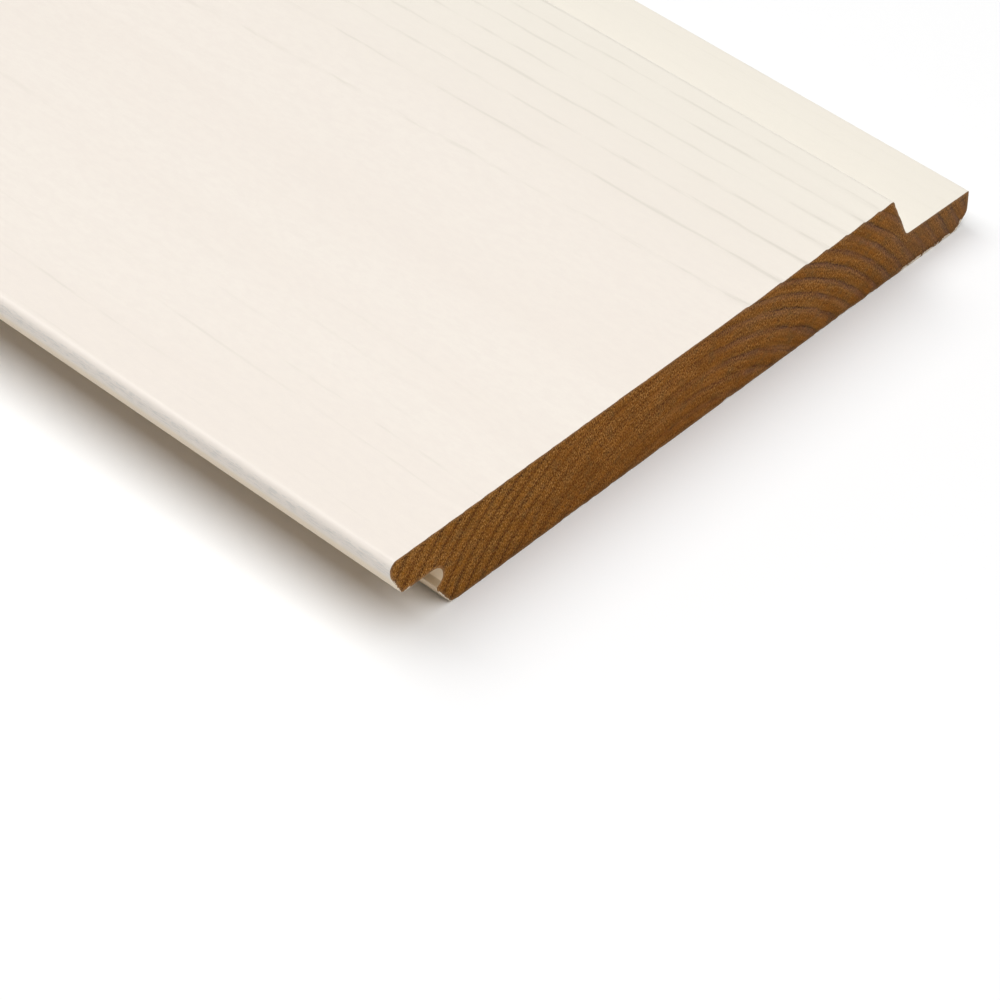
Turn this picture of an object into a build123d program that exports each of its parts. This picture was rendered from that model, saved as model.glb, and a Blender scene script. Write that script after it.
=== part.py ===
"""A painted softwood siding board, moulded in one piece from a planed plank.

The board lies on its back. X runs along its length, Y up the wall from the rounded nose to the
tongue, and Z out of the wall towards the weather. The origin is in the plane of the back face,
halfway along the length and halfway across the overall width. Sizes are in millimetres.

On a wall the boards are fixed one above the other. The nose of each board hangs over the tongue of
the board below, the tongue stands in the groove behind that nose, and the part of the tongue that
is still in view makes the channel between two boards.
"""

import os
from math import radians, tan

from build123d import *

# The plank, planed to size
board_length = 2400.0
board_width = 143.0
board_thickness = 18.0

# The tongue along the upper edge, and the raked shoulder above it
tongue_length = 17.0
tongue_thickness = 8.0  # where it leaves the shoulder
tongue_taper = 0.5  # what it has lost by its edge, so that it enters the groove easily
tongue_chamfer = 2.8
shoulder_rake = 23.0  # degrees from upright

# How two boards lap on the wall
lap_clearance = 2.0  # between a tongue and the nose over it
tongue_gap = 1.0  # between a tongue's edge and the groove's wall, for swelling
channel_reveal = 7.6  # flat of the tongue that stays in view below a nose

# The groove behind the nose
relief_radius = 2.25  # round relief cut into the groove's inner corner
relief_overcut = 1.4  # how far that relief goes in past the groove's wall
heel_height = 4.9  # bevel from the groove's wall to the back face
heel_run = 3.1

# The nose along the lower edge
nose_bevel_run = 2.4
nose_bevel_height = 5.2

# Eased corners, named by where they are on the section
nose_top_radius = 1.5
nose_side_radius = 2.5
nose_toe_radius = 1.6
shoulder_top_radius = 1.2
shoulder_foot_radius = 1.2
tongue_top_radius = 0.4
tongue_edge_radius = 2.5
tongue_back_radius = 1.1
groove_lip_radius = 0.3
heel_radius = 2.0

# Lines of the section that follow from the sizes above
nose_edge = -board_width / 2
tongue_edge = board_width / 2
shoulder_foot = tongue_edge - tongue_length
shoulder_top = shoulder_foot - (board_thickness - tongue_thickness) * tan(radians(shoulder_rake))
nose_underside = tongue_thickness + lap_clearance
groove_wall = nose_edge + tongue_length - channel_reveal + tongue_gap
relief_y = groove_wall + relief_overcut - relief_radius
relief_z = nose_underside - relief_radius


def cut_outline(*corners):
    """Takes the closed outline through these corners out of the section being drawn."""
    Polygon(*corners, align=None, mode=Mode.SUBTRACT)


def ease_corner(sketch, corner, radius):
    """Rounds the section's corner that lies nearest to the named point."""
    fillet(sketch.vertices().sort_by_distance(corner)[0], radius)


with BuildPart() as siding_board:
    with BuildSketch(Plane.YZ.offset(-board_length / 2)) as section:
        Rectangle(board_width, board_thickness, align=(Align.CENTER, Align.MIN))

        # The front rebate leaves the tongue and its raked shoulder
        cut_outline(
            (shoulder_top, board_thickness),
            (shoulder_foot, tongue_thickness),
            (tongue_edge, tongue_thickness - tongue_taper),
            (tongue_edge, board_thickness),
        )
        chamfer(section.vertices().sort_by_distance((tongue_edge, 0))[0], tongue_chamfer)

        # The back rebate leaves the nose, its relief undercuts the corner, and its heel is bevelled
        cut_outline(
            (nose_edge, 0),
            (nose_edge, nose_underside),
            (relief_y, nose_underside),
            (groove_wall, relief_z),
            (groove_wall, heel_height),
            (groove_wall + heel_run, 0),
        )
        with Locations((relief_y, relief_z)):
            Circle(relief_radius, mode=Mode.SUBTRACT)

        # The nose slopes in below its rounded edge, so that water drips off its toe
        cut_outline(
            (nose_edge, nose_underside + nose_bevel_height),
            (nose_edge, nose_underside),
            (nose_edge + nose_bevel_run, nose_underside),
        )

        ease_corner(section, (nose_edge, board_thickness), nose_top_radius)
        ease_corner(section, (nose_edge, nose_underside + nose_bevel_height), nose_side_radius)
        ease_corner(section, (nose_edge + nose_bevel_run, nose_underside), nose_toe_radius)
        ease_corner(section, (shoulder_top, board_thickness), shoulder_top_radius)
        ease_corner(section, (shoulder_foot, tongue_thickness), shoulder_foot_radius)
        ease_corner(section, (tongue_edge, tongue_thickness - tongue_taper), tongue_top_radius)
        ease_corner(section, (tongue_edge, tongue_chamfer), tongue_edge_radius)
        ease_corner(section, (tongue_edge - tongue_chamfer, 0), tongue_back_radius)
        ease_corner(section, (groove_wall, heel_height), groove_lip_radius)
        ease_corner(section, (groove_wall + heel_run, 0), heel_radius)
    extrude(amount=board_length)

siding_board.part.label = "siding_board"

os.makedirs("parts", exist_ok=True)
export_step(siding_board.part, "parts/siding_board.step")
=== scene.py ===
"""Looks of a painted siding board of thermally modified pine, lying on its back on a pale floor.

The board is one mesh: its moulded section carried along the length, and a sawn face at each end.
Its growth rings are one function of place in the trunk. Where they meet the sawn ends they give
the end grain, and where they meet the planed faces they give the raised lines under the paint.
Sizes in the text below are in millimetres, and the mesh itself is in metres.
"""

from functools import partial
from math import atan2, cos, hypot, pi, radians, sin, tan

import bpy
import numpy as np
from mathutils.geometry import delaunay_2d_cdt
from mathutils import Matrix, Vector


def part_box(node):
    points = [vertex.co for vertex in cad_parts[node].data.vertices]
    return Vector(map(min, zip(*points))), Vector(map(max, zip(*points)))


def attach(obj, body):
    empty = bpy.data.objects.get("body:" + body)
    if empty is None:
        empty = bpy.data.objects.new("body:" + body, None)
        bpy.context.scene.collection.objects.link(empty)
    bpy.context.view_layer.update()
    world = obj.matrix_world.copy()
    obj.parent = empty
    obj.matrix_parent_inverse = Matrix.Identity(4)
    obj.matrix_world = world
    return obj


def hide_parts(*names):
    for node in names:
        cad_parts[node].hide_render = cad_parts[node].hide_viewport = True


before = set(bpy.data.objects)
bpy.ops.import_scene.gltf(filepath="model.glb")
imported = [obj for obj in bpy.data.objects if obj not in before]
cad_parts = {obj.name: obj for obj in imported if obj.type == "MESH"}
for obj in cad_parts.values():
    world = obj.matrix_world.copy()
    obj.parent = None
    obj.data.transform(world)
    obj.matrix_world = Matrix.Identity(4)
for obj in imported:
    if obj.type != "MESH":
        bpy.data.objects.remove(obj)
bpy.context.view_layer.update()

MM = 0.001
LOWEST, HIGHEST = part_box("siding_board")
HALF_LENGTH = HIGHEST.x / MM
NOSE = LOWEST.y / MM
TONGUE = HIGHEST.y / MM
FACE = HIGHEST.z / MM

# Section of the board, seen from its near end: (across, up, radius of the eased corner). The first
# list goes over the face and the tongue to the groove, and the round relief follows it.
GROOVE_WALL = NOSE + 10.4
CORNERS_TO_GROOVE = [
    (NOSE, FACE, 1.5),  # nose, top
    (TONGUE - 21.245, FACE, 1.2),  # shoulder, top
    (TONGUE - 17.0, 8.0, 1.2),  # shoulder, foot
    (TONGUE, 7.5, 0.4),  # tongue, top
    (TONGUE, 2.8, 2.5),  # tongue, edge
    (TONGUE - 2.8, 0.0, 1.1),  # tongue, back
    (GROOVE_WALL + 3.1, 0.0, 2.0),  # heel
    (GROOVE_WALL, 4.9, 0.3),  # lip of the groove
]
NOSE_CORNERS = [
    (NOSE + 2.4, 10.0, 1.6),  # toe, from which water drips
    (NOSE, 15.2, 2.5),  # nose, side
]
RELIEF_CENTRE = (GROOVE_WALL - 0.85, 7.75)  # round relief in the groove's inner corner
RELIEF_RADIUS = 2.25

# The tree: where its heart lies from this board, and how its rings grew
HEART_ACROSS = -2.5
HEART_BELOW = 23.2
HEART_DIVES = 0.0125  # the heart runs this much deeper for each millimetre from the near end
RING_FLATNESS = 1.24
RING_LEAN = 0.03
RING_FLARE = 0.093
RING_WANDER = 0.22
COUNT_FROM = 50.3  # rings are counted from this radius, both ways
OUTER_RING = 3.34
INNER_RING = 4.35
MEAN_RADIUS = 60.0  # at which distances round the heart are measured

# How far below the planed surface the soft part of a ring has sunk
SUNK_ALONG = 0.05
SUNK_ALONG_REACH = 30.0
SUNK_AT_END = 0.24
SUNK_AT_END_REACH = 5.0

# How the saw has torn the edges of the two ends, in small bites
BITES = 150
DEEPEST_BITE = 0.35
BITE_REACH = 0.25  # how far a bite runs along the board
BITE_SHARE_ON_FACE = 0.3
BACK_BELOW = 5.0
NEAR_END_SEED = 3
FAR_END_SEED = 11

# How finely the mesh follows the board
END_STEPS = [0, 0.12, 0.3, 0.6, 1.0, 1.6, 2.5, 4, 6, 9, 13, 18, 25, 34, 45, 60]
MIDDLE_STEP = 60.0
SPACING_WHERE_RINGS_SHOW = 0.33
SPACING_ELSEWHERE = 0.65
END_NET_PITCH = 0.6
END_NET_RIM = 0.22  # how far in the row of places next to the edge lies
END_NET_CLEAR = 0.5  # how far in the regular places begin
EDGE_PULL = 1.5  # how far in the places of the end follow the edge

# The board's materials, by the order of its slots
PAINT = 0
END_GRAIN = 1
BACK = 2

# What of the board's texture its skin takes up, below the two sawn ends
SKIN_SHARE = 0.7
END_SHARE = 0.13
TEXTURE_GAP = 0.01
TEXTURE_MARGIN = 0.005

WHITE = (1, 1, 1, 1)
TIMES = {"operation": "MULTIPLY"}
PLUS = {"operation": "ADD"}
COLOUR = {"data_type": "RGBA"}  # a mix of colours: share at 0, colours at 6 and 7, output 2

# A range that is eased into and out of: value, its two bounds, and what they become (0 and 1)
SOFT = {"interpolation_type": "SMOOTHSTEP"}


def eased_corner(before, corner, after, radius, chord=0.13):
    """Points of the arc that rounds a corner of the section."""
    into = np.subtract(before[:2], corner[:2])
    out = np.subtract(after[:2], corner[:2])
    into = into / hypot(*into)
    out = out / hypot(*out)
    half_angle = np.arccos(np.clip(into @ out, -1, 1)) / 2
    middle = into + out
    centre = np.array(corner[:2]) + middle / hypot(*middle) * radius / sin(half_angle)
    start = np.array(corner[:2]) + into * radius / tan(half_angle) - centre
    end = np.array(corner[:2]) + out * radius / tan(half_angle) - centre
    first = atan2(start[1], start[0])
    turn = (atan2(end[1], end[0]) - first + pi) % (2 * pi) - pi
    steps = max(3, int(abs(turn) * radius / chord))
    angles = first + turn * np.arange(steps + 1) / steps
    return [centre + radius * np.array([cos(a), sin(a)]) for a in angles]


def relief_arc(chord=0.2):
    """Points of the round relief, from the groove's wall to the nose's underside."""
    first = -np.arccos((RELIEF_CENTRE[0] - GROOVE_WALL) / -RELIEF_RADIUS)
    steps = int((pi / 2 - first) * RELIEF_RADIUS / chord)
    angles = first + (pi / 2 - first) * np.arange(steps + 1) / steps
    return [np.add(RELIEF_CENTRE, (RELIEF_RADIUS * cos(a), RELIEF_RADIUS * sin(a))) for a in angles]


def spacing(place):
    """How far apart points lie on the section's straight runs, closest where rings meet the face."""
    rings_show = place[0] > 0 and place[1] > 7
    return SPACING_WHERE_RINGS_SHOW if rings_show else SPACING_ELSEWHERE


def section_points():
    """The section's outline, as points (across, up) in anticlockwise order."""
    corners = CORNERS_TO_GROOVE + [(*relief_arc()[0], 0), (*relief_arc()[-1], 0)] + NOSE_CORNERS
    count = len(corners)
    rough = []
    for i, corner in enumerate(corners):
        if corner[2]:
            rough += eased_corner(corners[i - 1], corner, corners[(i + 1) % count], corner[2])
        elif i == len(CORNERS_TO_GROOVE):
            rough += relief_arc()
    points = []
    for start, end in zip(rough, rough[1:] + rough[:1]):
        run = hypot(*(end - start))
        parts = max(1, round(run / spacing((start + end) / 2)))
        points += [start + (end - start) * k / parts for k in range(parts)]
    return np.array(points)[::-1]


def outward(points):
    """Outward directions at the points of the outline."""
    along = np.roll(points, -1, axis=0) - np.roll(points, 1, axis=0)
    along /= np.hypot(*along.T)[:, None]
    return np.stack([along[:, 1], -along[:, 0]], axis=1)


def ring_radius(x, y, z):
    """Distance from the tree's heart, as its rings grew."""
    away = HALF_LENGTH - x
    across = y - HEART_ACROSS
    up = RING_FLATNESS * (z + HEART_BELOW + HEART_DIVES * away)
    growth = 1 + RING_LEAN * across / 100 + RING_FLARE * (across / 100) ** 2
    wander = np.sin(away / 83 + y / 19 + z / 9) - np.sin(y / 19 + z / 9)
    return np.hypot(across, up) * growth + RING_WANDER * wander


def ring_count(x, y, z):
    """Number of rings out from the counting radius. Each whole number is the end of a year."""
    beyond = ring_radius(x, y, z) - COUNT_FROM
    return np.maximum(beyond, 0) / OUTER_RING + np.minimum(beyond, 0) / INNER_RING


def sunk(x, y, z):
    """How far the wood has sunk: least at the hard end of each ring, and most just past it."""
    phase = ring_count(x, y, z) % 1
    rise = np.clip((phase - 0.1) / 0.82, 0, 1) ** 1.5
    drop = np.clip((phase - 0.96) / 0.04, 0, 1)
    from_end = HALF_LENGTH - np.abs(x)
    depth = SUNK_ALONG * np.exp(-from_end / SUNK_ALONG_REACH)
    depth = depth + SUNK_AT_END * np.exp(-from_end / SUNK_AT_END_REACH)
    on_face = np.clip((z - 12) / 4, 0.3, 1)
    on_right = np.clip((y + 10) / 25, 0.3, 1)
    short_of_shoulder = np.clip((53 - y) / 3, 0.2, 1)
    share = on_face * on_right * short_of_shoulder
    return depth * share * (1 - rise * (1 - 0.5 * drop))


def torn_arris(points, seed):
    """How far the saw has torn the edge at each point of the outline: small bites, mostly at the back."""
    rng = np.random.default_rng(seed)
    run = np.concatenate([[0], np.cumsum(np.hypot(*np.diff(points, axis=0).T))])
    at_back = points[:, 1] < BACK_BELOW
    bites = np.zeros(len(points))
    for _ in range(BITES):
        middle = rng.uniform(0, run[-1])
        width = rng.uniform(0.25, 0.9)
        depth = rng.uniform(0.02, 0.3) ** 1.3
        bites += depth * np.exp(-((run - middle) / width) ** 2)
    return np.minimum(bites, DEEPEST_BITE) * np.where(at_back, 1, BITE_SHARE_ON_FACE)


def stations():
    """Places along the length, close together near the ends, from the near end to the far one."""
    inner = HALF_LENGTH - END_STEPS[-1]
    middle = np.linspace(inner, -inner, int(2 * inner / MIDDLE_STEP) + 1)
    near = HALF_LENGTH - np.array(END_STEPS[:-1], float)
    return np.concatenate([near, middle, -near[::-1]])


def skin_points(outline, normals, along):
    """The board's surface, station by station: an array of (station, point, xyz)."""
    torn_near = torn_arris(outline, NEAR_END_SEED)
    torn_far = torn_arris(outline, FAR_END_SEED)
    skin = np.zeros((len(along), len(outline), 3))
    for k, x in enumerate(along):
        from_end = HALF_LENGTH - abs(x)
        bite = (torn_near if x > 0 else torn_far) * np.exp(-from_end / BITE_REACH)
        inward = sunk(x, outline[:, 0], outline[:, 1]) + bite
        skin[k, :, 0] = x
        skin[k, :, 1:] = outline - normals * inward[:, None]
    return skin


def distance_to_outline(places, outline):
    """Distance from each place to the nearest side of the outline, and that side's number."""
    start, end = outline, np.roll(outline, -1, axis=0)
    side = end - start
    offset = places[:, None] - start
    share = np.clip((offset * side).sum(2) / (side**2).sum(1), 0, 1)
    gap = np.hypot(*(offset - share[..., None] * side).transpose(2, 0, 1))
    return gap.min(1), gap.argmin(1)


def inside(places, outline):
    """Which places lie within the outline."""
    start, end = outline, np.roll(outline, -1, axis=0)
    y, z = places[:, :1], places[:, 1:]
    crosses = (start[:, 1] > z) != (end[:, 1] > z)
    with np.errstate(divide="ignore", invalid="ignore"):
        at = start[:, 0] + (z - start[:, 1]) / (end[:, 1] - start[:, 1]) * (end[:, 0] - start[:, 0])
    return (crosses & (y < at)).sum(1) % 2 == 1


def end_face(outline, normals):
    """A net over the section: its inner places, their distance in, the side nearest, and triangles."""
    across = np.arange(NOSE + 0.2, TONGUE, END_NET_PITCH)
    up = np.arange(0.3, FACE, END_NET_PITCH)
    grid = np.stack(np.meshgrid(across, up), axis=-1).reshape(-1, 2)
    grid = grid[inside(grid, outline)]
    grid = grid[distance_to_outline(grid, outline)[0] > END_NET_CLEAR]
    near = outline - normals * END_NET_RIM
    near = near[distance_to_outline(near, outline)[0] > 0.9 * END_NET_RIM]
    inner = np.concatenate([near, grid])
    gap, side = distance_to_outline(inner, outline)
    count = len(outline)
    loop = [(k, (k + 1) % count) for k in range(count)]
    everything = np.concatenate([outline, inner])
    triangles_inside = 1
    one_place = 1e-6  # places closer than this count as one
    net = delaunay_2d_cdt(everything.tolist(), loop, [], triangles_inside, one_place)
    if len(net[0]) != len(everything):
        raise RuntimeError("the net over the section has gained or lost places")
    return inner, gap, side, [tuple(f) for f in net[2]]


def skin_faces(per_station, last):
    """The faces between each station and the next."""
    faces = []
    for k in range(last):
        first = k * per_station
        for j in range(per_station):
            after = (j + 1) % per_station
            faces.append((first + j, first + per_station + j, first + per_station + after, first + after))
    return faces


def end_faces(net, per_station, first_inner, inner_count, last):
    """The faces of the two sawn ends, the far one turned to face outward."""
    both = []
    for station, turn in ((0, 1), (last, -1)):
        outer = [station * per_station + j for j in range(per_station)]
        first = first_inner + (inner_count if station else 0)
        numbers = outer + list(range(first, first + inner_count))
        both += [tuple(numbers[i] for i in face[::turn]) for face in net]
    return both


def board_mesh():
    """The mesh of the board, with the attributes that its materials read."""
    outline = section_points()
    normals = outward(outline)
    along = stations()
    skin = skin_points(outline, normals, along)
    inner, gap, side, net = end_face(outline, normals)
    per_station = len(outline)
    last = len(along) - 1

    # The inner places of each end go with the edge beside them, which the rings and the saw have moved
    follows = np.clip(1 - gap / EDGE_PULL, 0, 1)[:, None]
    ends = []
    for k in (0, last):
        moved = skin[k, :, 1:] - outline
        place = inner + follows * moved[side]
        ends.append(np.column_stack([np.full(len(inner), along[k]), place]))

    places = np.concatenate([skin.reshape(-1, 3), *ends])
    skin_count = len(along) * per_station
    skin_quads = skin_faces(per_station, last)
    caps = end_faces(net, per_station, skin_count, len(inner), last)
    mesh = bpy.data.meshes.new("siding_board_dressed")
    mesh.from_pydata((places * MM).tolist(), [], skin_quads + caps)

    on_back = (outline[:, 1] < 0.01) & (np.roll(outline[:, 1], -1) < 0.01)
    material = np.full(len(mesh.polygons), END_GRAIN, np.int32)
    material[:len(skin_quads)] = np.tile(np.where(on_back, BACK, PAINT), last)
    mesh.polygons.foreach_set("material_index", material)
    mesh.polygons.foreach_set("use_smooth", np.ones(len(mesh.polygons), bool))

    inset = np.zeros(len(places))
    inset[skin_count:] = np.tile(gap, 2)
    around = np.arctan2(RING_FLATNESS * (places[:, 2] + HEART_BELOW), places[:, 1] - HEART_ACROSS)
    keep(mesh, "ring", ring_count(*places.T))
    keep(mesh, "inset", inset)
    keep(mesh, "around", MEAN_RADIUS * around)
    unroll(mesh, outline, last)
    mesh.validate()
    mesh.set_sharp_from_angle(angle=radians(40))
    return mesh


def keep(mesh, name, values):
    """Stores one number for each vertex under a name that materials can read."""
    attribute = mesh.attributes.new(name, "FLOAT", "POINT")
    attribute.data.foreach_set("value", values.astype(np.float32))


def unroll(mesh, outline, last):
    """Lays the board flat for its texture: the skin as one strip, and the sawn ends above it."""
    count = len(outline)
    run = np.cumsum(np.hypot(*(np.roll(outline, -1, axis=0) - outline).T))
    round_section = np.concatenate([[0], run]) / run[-1]
    corners = np.zeros(len(mesh.loops), np.int32)
    mesh.loops.foreach_get("vertex_index", corners)
    place = np.zeros(len(mesh.vertices) * 3)
    mesh.vertices.foreach_get("co", place)
    place = place.reshape(-1, 3)[corners] / MM

    flat = np.zeros((len(corners), 2))
    skin = 4 * last * count
    column = np.tile(np.arange(count), last)
    column = np.stack([column, column, column + 1, column + 1], axis=1).reshape(-1)
    flat[:skin, 0] = 0.5 - place[:skin, 0] / HALF_LENGTH / 2
    flat[:skin, 1] = round_section[column] * SKIN_SHARE
    flat[skin:, 0] = (place[skin:, 1] - NOSE) / (TONGUE - NOSE)
    rise = place[skin:, 2] / (TONGUE - NOSE)
    below = np.where(place[skin:, 0] > 0, SKIN_SHARE, SKIN_SHARE + END_SHARE)
    flat[skin:, 1] = rise + below + TEXTURE_GAP
    flat = TEXTURE_MARGIN + (1 - 2 * TEXTURE_MARGIN) * flat
    layer = mesh.uv_layers.new(name="OFBake")
    layer.uv.foreach_set("vector", flat.astype(np.float32).reshape(-1))


def linear(hex_colour):
    """A colour written as sRGB hex, as the linear colour that shaders take."""
    parts = [int(hex_colour[k:k + 2], 16) / 255 for k in (0, 2, 4)]
    return (*[c / 12.92 if c <= 0.04045 else ((c + 0.055) / 1.055) ** 2.4 for c in parts], 1)


def add_node(tree, kind, inputs=(), output=0, stops=(), **settings):
    """Adds a node with its settings and links, and gives one of its outputs.

    inputs, by name or in the node's own order, are values or the outputs that feed them. stops are
    the places and colours of a ramp.
    """
    node = tree.nodes.new("ShaderNode" + kind)
    for name, value in settings.items():
        setattr(node, name, value)
    for name, value in inputs.items() if isinstance(inputs, dict) else enumerate(inputs):
        if isinstance(value, bpy.types.NodeSocket):
            tree.links.new(value, node.inputs[name])
        else:
            node.inputs[name].default_value = value
    for k, (place, colour) in enumerate(stops):
        elements = node.color_ramp.elements
        stop = elements[k] if k < len(elements) else elements.new(place)
        stop.position = place
        stop.color = linear(colour)
    return node.outputs[output] if node.outputs else node


def new_material(name):
    """A material with an empty node tree, and the function that adds nodes to that tree."""
    material = bpy.data.materials.new(name)
    material.use_nodes = True
    material.node_tree.nodes.clear()
    return material, partial(add_node, material.node_tree)


def millimetres(add):
    """Place on the object in millimetres, and its parts across and up the section."""
    place = add("VectorMath", {0: add("TexCoord", output="Object"), "Scale": 1000.0}, operation="SCALE")
    parts = add("SeparateXYZ", [place]).node.outputs
    return place, parts["Y"], parts["Z"]


def blotches(add, place, size, detail=2.0, roughness=0.5, shift=0.0):
    """Soft uneven blotches from 0 to 1, about as large as size = (x, y, z) millimetres."""
    location = (shift, 0.7 * shift, 1.3 * shift)
    inputs = {"Vector": place, "Scale": tuple(1 / s for s in size), "Location": location}
    inputs = {"Vector": add("Mapping", inputs), "Scale": 1.0, "Detail": detail, "Roughness": roughness}
    return add("TexNoise", inputs)


def years_from(add, place, size, amount):
    """Rings counted at each place, their bounds wavering a little, as rows of cells do."""
    waver = add("MapRange", [blotches(add, place, size, 3), 0.25, 0.75, -amount, amount], **SOFT)
    return add("Math", [add("Attribute", output="Fac", attribute_name="ring"), waver], **PLUS)


def raised_lines(add, place, across, up):
    """Where a year's hard edge stands up under the paint: 1 along it, broken, and 0 elsewhere.

    Rings that lie nearly flat under the middle of the face leave no line there.
    """
    years = years_from(add, place, (14, 2.2, 2.2), 0.03)
    to_edge = add("Math", [years, 0.5], operation="PINGPONG")
    off_middle = add("Math", [across], operation="ABSOLUTE")
    width = add("MapRange", [off_middle, 8.0, 34.0, 0.045, 0.1], **SOFT)
    line = add("MapRange", [to_edge, 0.0, width, 1.0, 0.0], **SOFT)
    breaks = blotches(add, place, (14, 1.4, 1.4), 3, 0.65, 4.0)
    breaks = add("MapRange", [breaks, 0.4, 0.62, 0.1, 1.0], **SOFT)
    line = add("Math", [line, breaks], **TIMES)

    right = add("MapRange", [across, -8.0, 20.0], **SOFT)
    left = add("MapRange", [across, -20.0, -40.0, 0.0, 1.0], **SOFT)
    fades = blotches(add, place, (70, 7, 7), 1, 0.5, 13.0)
    fades = add("MapRange", [fades, 0.42, 0.64, 0.1, 0.7], **SOFT)
    left = add("Math", [left, fades], **TIMES)
    line = add("Math", [line, add("Math", [right, left], **PLUS)], **TIMES)
    above_tongue = add("MapRange", [up, 8.5, 16.0, 0.15, 1.0], **SOFT)
    return add("Math", [line, above_tongue], **TIMES)


def brush_marks(add, place, across, up):
    """Short marks along the nose's side, where the last coat was dragged on thin: 0 to 1.

    A bristle leaves a mark 0.1 mm wide, too fine to show, so the marks are drawn 0.32 mm wide.
    """
    marks = blotches(add, place, (2.2, 0.32, 0.32), 4, 0.75, 2.0)
    marks = add("MapRange", [marks, 0.48, 0.6], **SOFT)
    at_side = add("MapRange", [across, NOSE + 0.5, NOSE + 0.12], **SOFT)
    marks = add("Math", [marks, at_side], **TIMES)
    above_bevel = add("MapRange", [up, 14.6, 15.6], **SOFT)
    marks = add("Math", [marks, above_bevel], **TIMES)
    below_top = add("MapRange", [up, 17.8, 17.1], **SOFT)
    return add("Math", [marks, below_top], **TIMES)


def off_white_coat(add, place, across):
    """The coats' own colour: off-white in faint clouds and specks, a little greener at the tongue."""
    paint = linear("ede4da")
    paler_paint = linear("efe7dd")
    darker_paint = linear("eae1d8")
    greener_paint = linear("ebe5d9")

    clouds = blotches(add, place, (160, 22, 22), 2, 0.5, 9.0)
    clouds = add("MapRange", [clouds, 0.3, 0.7], **SOFT)
    colour = add("Mix", {0: clouds, 6: paint, 7: paler_paint}, 2, **COLOUR)
    specks = blotches(add, place, (2.4, 1.0, 1.0), 3, 0.7, 21.0)
    specks = add("MapRange", [specks, 0.35, 0.65, 0.0, 0.5], **SOFT)
    colour = add("Mix", {0: specks, 6: colour, 7: darker_paint}, 2, **COLOUR)
    to_tongue = add("MapRange", [across, 0.0, 60.0], **SOFT)
    return add("Mix", {0: to_tongue, 6: colour, 7: greener_paint}, 2, **COLOUR)


def painted_bounce_and_groove_shade(add, colour, across, up):
    """The coat's colour, made creamier low on the nose by painted bounce light, and browner in the
    groove, where the coat lies thin and painted shade darkens it.

    A strip along the groove's wall, where the round relief meets it, is darkened further by painted
    shade.
    """
    painted_bounce_cream = linear("ecdcc2")
    thin_coat = linear("d6c0a2")
    painted_crease_shade = linear("80694a")

    # Painted bounce light: a creamier tone low on the nose, short of the groove
    low = add("MapRange", [up, 16.0, 12.6], **SOFT)
    by_groove = add("MapRange", [across, GROOVE_WALL + 5.0, GROOVE_WALL + 4.0], **SOFT)
    low = add("Math", [low, by_groove], **TIMES)
    colour = add("Mix", {0: low, 6: colour, 7: painted_bounce_cream}, 2, **COLOUR)

    # Groove: thin paint, darkened and browned further by painted shade in the recess
    behind_toe = add("MapRange", [across, NOSE + 2.6, NOSE + 3.6], **SOFT)
    in_groove = add("Math", [low, behind_toe], **TIMES)
    under_nose = add("MapRange", [up, 11.0, 10.0], **SOFT)
    in_groove = add("Math", [in_groove, under_nose], **TIMES)
    colour = add("Mix", {0: in_groove, 6: colour, 7: thin_coat}, 2, **COLOUR)

    # Painted shade: a dark strip in the crease where the relief meets the groove's wall
    strip = add("Math", [add("MapRange", [up, 5.2, 5.9], **SOFT), in_groove], **TIMES)
    strip = add("Math", [strip, add("MapRange", [up, 6.5, 6.3], **SOFT)], **TIMES)
    strip = add("Math", [strip, 0.6], **TIMES)
    return add("Mix", {0: strip, 6: colour, 7: painted_crease_shade}, 2, **COLOUR)


def coat_relief(add, place, line):
    """The coat's fine relief, from fibres under it, brushing and the drying film, and its roughness.

    A fibre is 0.04 mm wide, too fine to show, so its mark is drawn 0.35 mm wide.
    """
    fibre = blotches(add, place, (9, 0.35, 0.35), 3, 0.6)
    brushed = blotches(add, place, (60, 0.7, 0.7), 2, 0.5, 6.0)
    peel = blotches(add, place, (1.6, 1.0, 1.0), 2, 0.5, 12.0)
    fibre = add("Math", [fibre, 0.3], **TIMES)
    height = add("Math", [fibre, add("Math", [brushed, 0.6], **TIMES)], **PLUS)
    height = add("Math", [height, add("Math", [peel, 1.1], **TIMES)], **PLUS)
    height = add("Math", [height, add("Math", [line, 0.8], **TIMES)], operation="SUBTRACT")
    bump = add("Bump", {"Height": height, "Distance": 0.04 * MM, "Strength": 0.6})
    roughness = add("MapRange", [brushed, 0.3, 0.7, 0.36, 0.46], **SOFT)
    return bump, roughness


def painted_pine():
    """Factory coats of satin acrylic, off-white, on planed pine with a raised grain.

    The paint follows the wood: a thin painted shadow where each year's hard edge stands above the next
    year's soft wood, and fine marks of the fibres. Bounce light from the floor is painted in as a
    creamier tone low down, and in the groove the coat lies thin and carries painted shade.
    """
    shadow = linear("d7d1c5")
    dragged_thin = linear("cdcbc5")

    material, add = new_material("satin_acrylic_on_planed_pine")
    place, across, up = millimetres(add)
    line = raised_lines(add, place, across, up)
    marks = brush_marks(add, place, across, up)
    colour = off_white_coat(add, place, across)
    # Painted shadow along each raised line
    shaded = add("Math", [line, 0.6], **TIMES)
    colour = add("Mix", {0: shaded, 6: colour, 7: shadow}, 2, **COLOUR)
    marks = add("Math", [marks, 0.6], **TIMES)
    colour = add("Mix", {0: marks, 6: colour, 7: dragged_thin}, 2, **COLOUR)
    colour = painted_bounce_and_groove_shade(add, colour, across, up)
    bump, roughness = coat_relief(add, place, line)
    inputs = {"Base Color": colour, "Roughness": roughness, "IOR": 1.49, "Normal": bump}
    add("OutputMaterial", [add("BsdfPrincipled", inputs)])
    return material


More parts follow.
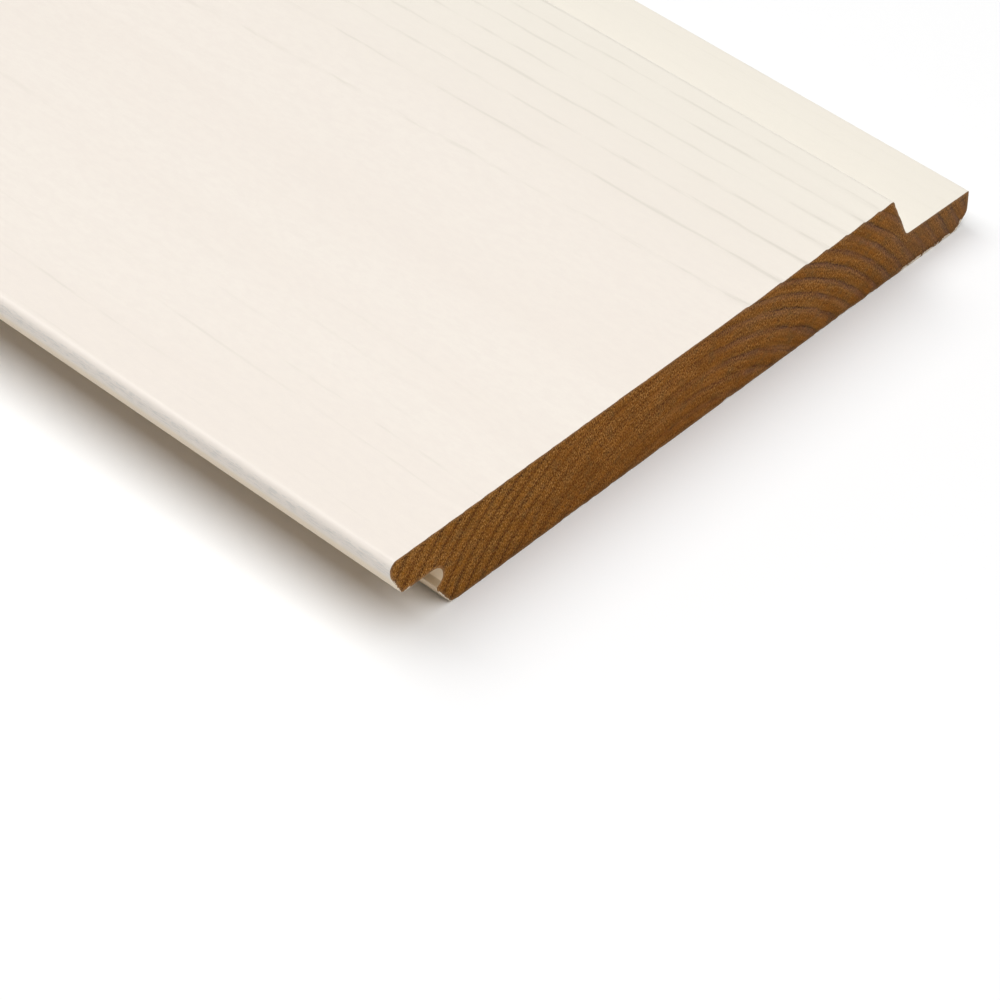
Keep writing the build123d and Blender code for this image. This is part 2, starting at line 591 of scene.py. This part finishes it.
def years_on_end(add, trunk, across):
    """Colour of each year on the sawn end, from its pale spring wood to its dark autumn edge.

    Years to the right of the heart end in a grey band and a thin dark line. Those to its left, cut
    more slantwise, shade from one brown to another. The second value is how far a year has run.
    """
    even_brown = linear("7e4b12")

    years = years_from(add, trunk, (5, 6, 1), 0.06)
    teeth = blotches(add, trunk, (0.8, 0.6, 1), 2, 0.5, 5.0)
    teeth = add("MapRange", [teeth, 0.25, 0.75, -0.025, 0.025], **SOFT)
    phase = add("Math", [add("Math", [years, teeth], **PLUS)], operation="FRACT")
    sharp_years = add("ValToRGB", [phase], stops=[
        (0.0, "40301f"), (0.03, "66452a"), (0.1, "764e1c"), (0.28, "7f4e17"), (0.44, "82511a"),
        (0.56, "825423"), (0.66, "7f5530"), (0.76, "79543a"), (0.87, "72503c"), (0.95, "66493a"),
        (1.0, "40301f"),
    ])
    soft_years = add("ValToRGB", [phase], stops=[
        (0.0, "522b05"), (0.07, "673c08"), (0.16, "7a4c13"), (0.4, "885616"), (0.62, "895819"),
        (0.84, "7a4d13"), (0.94, "653b08"), (1.0, "522b05"),
    ])
    to_right = add("MapRange", [across, -22.0, 8.0], **SOFT)
    colour = add("Mix", {0: to_right, 6: soft_years, 7: sharp_years}, 2, **COLOUR)

    # The years stand out least where the sawn end is nearest the heart
    left = add("MapRange", [across, -28.0, -46.0, 0.35, 1.0], **SOFT)
    right = add("MapRange", [across, -2.0, 20.0, 0.3, 0.88], **SOFT)
    shown = add("Math", [left, right], operation="MAXIMUM")
    at_tongue = add("MapRange", [across, 48.0, 60.0, 1.0, 0.95], **SOFT)
    shown = add("Math", [shown, at_tongue], **TIMES)
    patchy = blotches(add, trunk, (3.3, 9, 1), 3, 0.6, 8.0)
    patchy = add("MapRange", [patchy, 0.36, 0.6, 0.5, 1.0], **SOFT)
    shown = add("Math", [shown, patchy], **TIMES)
    return add("Mix", {0: shown, 6: even_brown, 7: colour}, 2, **COLOUR), phase


def rows_and_rays(add, place, trunk, colour):
    """The end grain's colour with its rows of cells, its rays, and worn and olive patches.

    Cells and rays are 0.03 to 0.05 mm wide, too fine to show, so they are drawn in bundles: rows
    0.55 mm wide and rays 0.35 mm wide.
    """
    olive_wood = linear("625335")

    rows = blotches(add, trunk, (0.55, 6, 1), 3, 0.6, 1.0)
    rows = add("MapRange", [rows, 0.3, 0.7, 0.78, 1.22], **SOFT)
    rays = blotches(add, trunk, (6, 0.35, 1), 2, 0.6, 2.0)
    rays = add("MapRange", [rays, 0.3, 0.7, 0.84, 1.18], **SOFT)
    worn = blotches(add, place, (2.2, 2.2, 2.2), 3, 0.6, 8.0)
    worn = add("MapRange", [worn, 0.3, 0.7, 1.08, 0.92], **SOFT)
    lightness = add("Math", [add("Math", [rows, rays], **TIMES), worn], **TIMES)
    colour = add("VectorMath", {0: colour, "Scale": lightness}, operation="SCALE")
    olive = blotches(add, place, (2.5, 2.5, 2.5), 2, 0.5, 17.0)
    olive = add("MapRange", [olive, 0.5, 0.72, 0.0, 0.3], **SOFT)
    return add("Mix", {0: olive, 6: colour, 7: olive_wood}, 2, **COLOUR)


def streaks_and_flecks(add, place, trunk, across, colour):
    """The end grain's colour with pale streaks along the rings, grey at the tongue, and red flecks."""
    pale_wood = linear("a06c34")
    grey_wood = linear("6b5947")
    red_wood = linear("7d3f16")

    pale = blotches(add, trunk, (1.0, 16, 1), 2, 0.5, 23.0)
    pale = add("MapRange", [pale, 0.5, 0.66, 0.0, 0.42], **SOFT)
    pale = add("Math", [pale, add("MapRange", [across, -30.0, -5.0], **SOFT)], **TIMES)
    short_of_tongue = add("MapRange", [across, 50.0, 30.0, 0.2, 1.0], **SOFT)
    pale = add("Math", [pale, short_of_tongue], **TIMES)
    colour = add("Mix", {0: pale, 6: colour, 7: pale_wood}, 2, **COLOUR)

    greyed = add("MapRange", [across, 44.0, 58.0, 0.0, 0.28], **SOFT)
    colour = add("Mix", {0: greyed, 6: colour, 7: grey_wood}, 2, **COLOUR)

    red = blotches(add, place, (0.5, 0.35, 0.8), 2, 0.6, 41.0)
    red = add("MapRange", [red, 0.52, 0.66, 0.0, 0.5], **SOFT)
    red = add("Math", [red, add("MapRange", [across, 40.0, 0.0, 0.5, 1.0], **SOFT)], **TIMES)
    return add("Mix", {0: red, 6: colour, 7: red_wood}, 2, **COLOUR)


def cut_fibres(add, place, across, up, phase, colour):
    """The end grain's colour with the tan and dark specks of its cut fibres, and their pattern.

    A cut fibre is 0.04 mm wide, too fine to show, so a speck is drawn 0.17 mm wide.
    """
    tan_fibre = linear("c08b4e")
    open_pore = linear("301602")

    mottle = blotches(add, place, (0.3, 0.17, 0.5), 2, 0.75, 3.0)
    to_edge = add("Math", [phase, 0.5], operation="PINGPONG")
    rougher = add("MapRange", [across, 40.0, -45.0, 1.0, 1.4], **SOFT)
    patches = blotches(add, place, (7, 7, 5), 2, 0.5, 11.0)
    patches = add("MapRange", [patches, 0.35, 0.6, 0.55, 1.0], **SOFT)
    rougher = add("Math", [rougher, patches], **TIMES)
    high_up = add("MapRange", [up, 3.0, 11.0, 0.7, 1.0], **SOFT)
    rougher = add("Math", [rougher, high_up], **TIMES)

    specks = add("MapRange", [mottle, 0.51, 0.63, 0.0, 0.85], **SOFT)
    specks = add("Math", [specks, rougher], **TIMES)
    off_edge = add("MapRange", [to_edge, 0.05, 0.28, 0.65, 1.0], **SOFT)
    specks = add("Math", [specks, off_edge], **TIMES)
    colour = add("Mix", {0: specks, 6: colour, 7: tan_fibre}, 2, **COLOUR)

    pores = add("MapRange", [mottle, 0.48, 0.35, 0.0, 1.0], **SOFT)
    pores = add("Math", [pores, rougher], **TIMES)
    at_edge = add("MapRange", [to_edge, 0.05, 0.28, 1.0, 0.8], **SOFT)
    pores = add("Math", [pores, at_edge], **TIMES)
    return add("Mix", {0: pores, 6: colour, 7: open_pore}, 2, **COLOUR), mottle


def sawn_rim(add, place, across, up, colour):
    """The end grain's colour with its rim: painted shade low down, dusty all round, and edged with paint.
    """
    painted_contact_shade = linear("3a2409")
    dust = linear("9d8061")
    cut_paint = linear("e9dcc8")

    inset = add("Attribute", output="Fac", attribute_name="inset")
    # Painted contact shade: the rim darkens low down, towards the back that lies on the floor
    shaded_low_rim = add("MapRange", [inset, 0.2, 1.6, 0.3, 0.0], **SOFT)
    shaded_low_rim = add("Math", [shaded_low_rim, add("MapRange", [up, 5.0, 2.0], **SOFT)], **TIMES)
    colour = add("Mix", {0: shaded_low_rim, 6: colour, 7: painted_contact_shade}, 2, **COLOUR)
    dusty = add("MapRange", [inset, 0.0, 0.7, 0.5, 0.0])
    colour = add("Mix", {0: dusty, 6: colour, 7: dust}, 2, **COLOUR)
    film = paint_edge(add, place, across, up, inset)
    return add("Mix", {0: film, 6: colour, 7: cut_paint}, 2, **COLOUR)


def paint_edge(add, place, across, up, inset):
    """Where the paint's own edge shows at the rim of the sawn end: 0 to 0.85."""
    by_toe = add("MapRange", [across, NOSE + 4.6, NOSE + 4.2], **SOFT)
    at_toe = add("Math", [by_toe, add("MapRange", [up, 15.0, 12.5], **SOFT)], **TIMES)
    by_heel = add("MapRange", [across, GROOVE_WALL + 4.2, GROOVE_WALL + 3.6], **SOFT)
    at_heel = add("Math", [by_heel, add("MapRange", [up, 4.8, 4.2], **SOFT)], **TIMES)
    by_tongue = add("MapRange", [across, 52.0, 55.0], **SOFT)
    at_tongue = add("Math", [by_tongue, add("MapRange", [up, 2.2, 1.6], **SOFT)], **TIMES)
    shown = add("Math", [at_toe, at_heel], operation="MAXIMUM")
    shown = add("Math", [shown, at_tongue], operation="MAXIMUM")

    ragged = blotches(add, place, (1.2, 1.2, 1.2), 3, 0.7, 31.0)
    widest = add("MapRange", [across, 50.0, 55.0, 0.3, 0.65], **SOFT)
    width = add("MapRange", [ragged, 0.35, 0.65, 0.0, widest], **SOFT)
    film = add("Math", [inset, width], operation="LESS_THAN")
    film = add("Math", [shown, film], **TIMES)
    return add("Math", [film, 0.85], **TIMES)


def end_grain():
    """Sawn end of thermally modified pine: brown all through, with dark hard bands of latewood.

    The cut fibres leave a fine mottle of tan and dark specks, rows of cells follow the rings, rays
    run out from the heart, and painted shade darkens the rim low down by the back. At the nose, the heel
    and the tongue's back the cut shows the paint's edge as a pale broken line.
    """
    material, add = new_material("end_grain_of_thermally_modified_pine")
    place, across, up = millimetres(add)
    radial = add("Math", [add("Attribute", output="Fac", attribute_name="ring"), OUTER_RING], **TIMES)
    around = add("Attribute", output="Fac", attribute_name="around")
    trunk = add("CombineXYZ", [radial, around])
    colour, phase = years_on_end(add, trunk, across)
    colour = rows_and_rays(add, place, trunk, colour)
    colour = streaks_and_flecks(add, place, trunk, across, colour)
    colour, mottle = cut_fibres(add, place, across, up, phase, colour)
    colour = sawn_rim(add, place, across, up, colour)

    height = add("Math", [mottle, add("Math", [phase, 0.8], **TIMES)], **PLUS)
    bump = add("Bump", {"Height": height, "Distance": 0.12 * MM, "Strength": 0.7})
    inputs = {"Base Color": colour, "Roughness": 0.85, "IOR": 1.5, "Normal": bump}
    inputs["Specular IOR Level"] = 0.06  # torn fibres shade each other, so they hardly shine
    add("OutputMaterial", [add("BsdfPrincipled", inputs)])
    return material


def back_coverage(add, across, fibre, rolled, passes):
    """How well the thin coat covers the back: least over open fibres, and wholly along the edges."""
    cover = add("MapRange", [fibre, 0.3, 0.7, 0.62, 0.86], **SOFT)
    cover = add("Math", [cover, add("MapRange", [rolled, 0.3, 0.7, -0.07, 0.07], **SOFT)], **PLUS)
    cover = add("Math", [cover, add("MapRange", [passes, 0.3, 0.7, -0.08, 0.08], **SOFT)], **PLUS)
    middle = (GROOVE_WALL + TONGUE) / 2
    off_middle = add("Math", [across, middle], operation="SUBTRACT")
    off_middle = add("Math", [off_middle], operation="ABSOLUTE")
    ragged = add("Math", [off_middle, add("Math", [rolled, 7.0], **TIMES)], **PLUS)
    lap = add("MapRange", [ragged, 61.0, 65.0], **SOFT)
    return add("Math", [cover, lap], operation="MAXIMUM")


def thinly_coated_back():
    """Back of the board: one thin rolled coat on planed pine, with the brown wood showing through.

    Dark late wood and open fibres read through the coat, the planer has left faint ripples across
    the board, and the coat is full only along the edges, where the face's paint laps round. A fibre
    is 0.04 mm wide, too fine to show, so bundles of them are drawn, 0.45 mm wide.
    """
    thin_coat = linear("e6dccd")
    planer_ripple = 1.8

    material, add = new_material("one_thin_coat_on_planed_pine")
    place, across, _ = millimetres(add)
    years = years_from(add, place, (18, 1.2, 1.2), 0.06)
    wood = add("ValToRGB", [add("Math", [years], operation="FRACT")], stops=[
        (0.0, "50331d"), (0.06, "80573a"), (0.4, "8f6a48"), (0.7, "815c3c"), (0.9, "65452a"),
        (1.0, "50331d"),
    ])
    fibre = blotches(add, place, (30, 0.45, 0.45), 4, 0.65)
    rolled = blotches(add, place, (3.5, 2.0, 2.0), 4, 0.7, 7.0)
    passes = blotches(add, place, (140, 30, 30), 2, 0.5, 14.0)
    cover = back_coverage(add, across, fibre, rolled, passes)
    colour = add("Mix", {0: cover, 6: wood, 7: thin_coat}, 2, **COLOUR)

    along = add("SeparateXYZ", [place])
    ripple = add("Math", [along, 2 * pi / planer_ripple], **TIMES)
    ripple = add("Math", [add("Math", [ripple], operation="SINE"), 0.12], **TIMES)
    height = add("Math", [fibre, ripple], **PLUS)
    bump = add("Bump", {"Height": height, "Distance": 0.06 * MM, "Strength": 0.6})
    inputs = {"Base Color": colour, "Roughness": 0.6, "IOR": 1.49, "Normal": bump}
    add("OutputMaterial", [add("BsdfPrincipled", inputs)])
    return material


def build_board():
    """The board, dressed, in place of its CAD solid."""
    board = bpy.data.objects.new("siding_board_dressed", board_mesh())
    bpy.context.scene.collection.objects.link(board)
    board.data.materials.append(painted_pine())
    board.data.materials.append(end_grain())
    board.data.materials.append(thinly_coated_back())
    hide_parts("siding_board")
    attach(board, "root")


def build_floor():
    """A plain white studio floor, which fades into the white room 0.2 to 0.8 m from the board.

    Only the camera sees that fade, so the floor throws no more light on the board.
    """
    half = 40.0
    below_board = 0.05 * MM
    white_paint = linear("f4f4f4")
    oval_scale = (0.4, 1, 1)  # an oval 2.5 times as long as it is wide
    fade_from = 0.56
    fade_to = 0.8

    mesh = bpy.data.meshes.new("floor")
    corners = [(-half, -half, 0), (half, -half, 0), (half, half, 0), (-half, half, 0)]
    mesh.from_pydata(corners, [], [(0, 1, 2, 3)])
    floor = bpy.data.objects.new("floor", mesh)
    floor.location.z = -below_board
    bpy.context.scene.collection.objects.link(floor)
    material, add = new_material("matt_white_floor_paint")
    inputs = {"Base Color": white_paint, "Roughness": 0.9, "Specular IOR Level": 0.2}
    painted = add("BsdfPrincipled", inputs)
    oval = add("Mapping", {"Vector": add("TexCoord", output="Object"), "Scale": oval_scale})
    away = add("VectorMath", [oval], "Value", operation="LENGTH")
    faded = add("MapRange", [away, fade_from, fade_to], **SOFT)
    faded = add("Math", [faded, add("LightPath", output="Is Camera Ray")], **TIMES)
    white = add("Emission", {"Color": WHITE, "Strength": 1.0})
    add("OutputMaterial", [add("MixShader", [faded, painted, white])])
    mesh.materials.append(material)


def build_camera():
    """The camera where the photograph was taken from, looking down at the near end."""
    data = bpy.data.cameras.new("camera")
    data.lens = 163.5
    data.sensor_width = 36.0
    data.clip_start = 0.05
    data.clip_end = 50.0
    camera = bpy.data.objects.new("camera", data)
    camera.location = (1.558, -0.4251, 0.5123)
    camera.rotation_euler = (radians(46.32), radians(-0.14), radians(43.54))
    bpy.context.scene.collection.objects.link(camera)
    bpy.context.scene.camera = camera


def softbox(place, length, width, watts):
    """A rectangular softbox hung level at place, its length along the board."""
    data = bpy.data.lights.new("softbox", "AREA")
    data.shape = "RECTANGLE"
    data.size = length
    data.size_y = width
    data.energy = watts
    light = bpy.data.objects.new("softbox", data)
    light.location = place
    bpy.context.scene.collection.objects.link(light)


def build_light():
    """Soft studio light: a broad softbox overhead, and an even white room."""
    softbox(place=(1.5, -0.26, 2.4), length=6.4, width=1.92, watts=113)
    world = bpy.data.worlds.new("white_room")
    bpy.context.scene.world = world
    world.use_nodes = True
    world.node_tree.nodes.clear()
    add = partial(add_node, world.node_tree)
    glow = add("Background", {"Color": WHITE, "Strength": 0.16})
    seen = add("Background", {"Color": WHITE, "Strength": 1.0})
    add("OutputWorld", [add("MixShader", [add("LightPath", output="Is Camera Ray"), glow, seen])])


build_camera()
build_board()
build_floor()
build_light()

bpy.context.scene.view_settings.view_transform = "Standard"
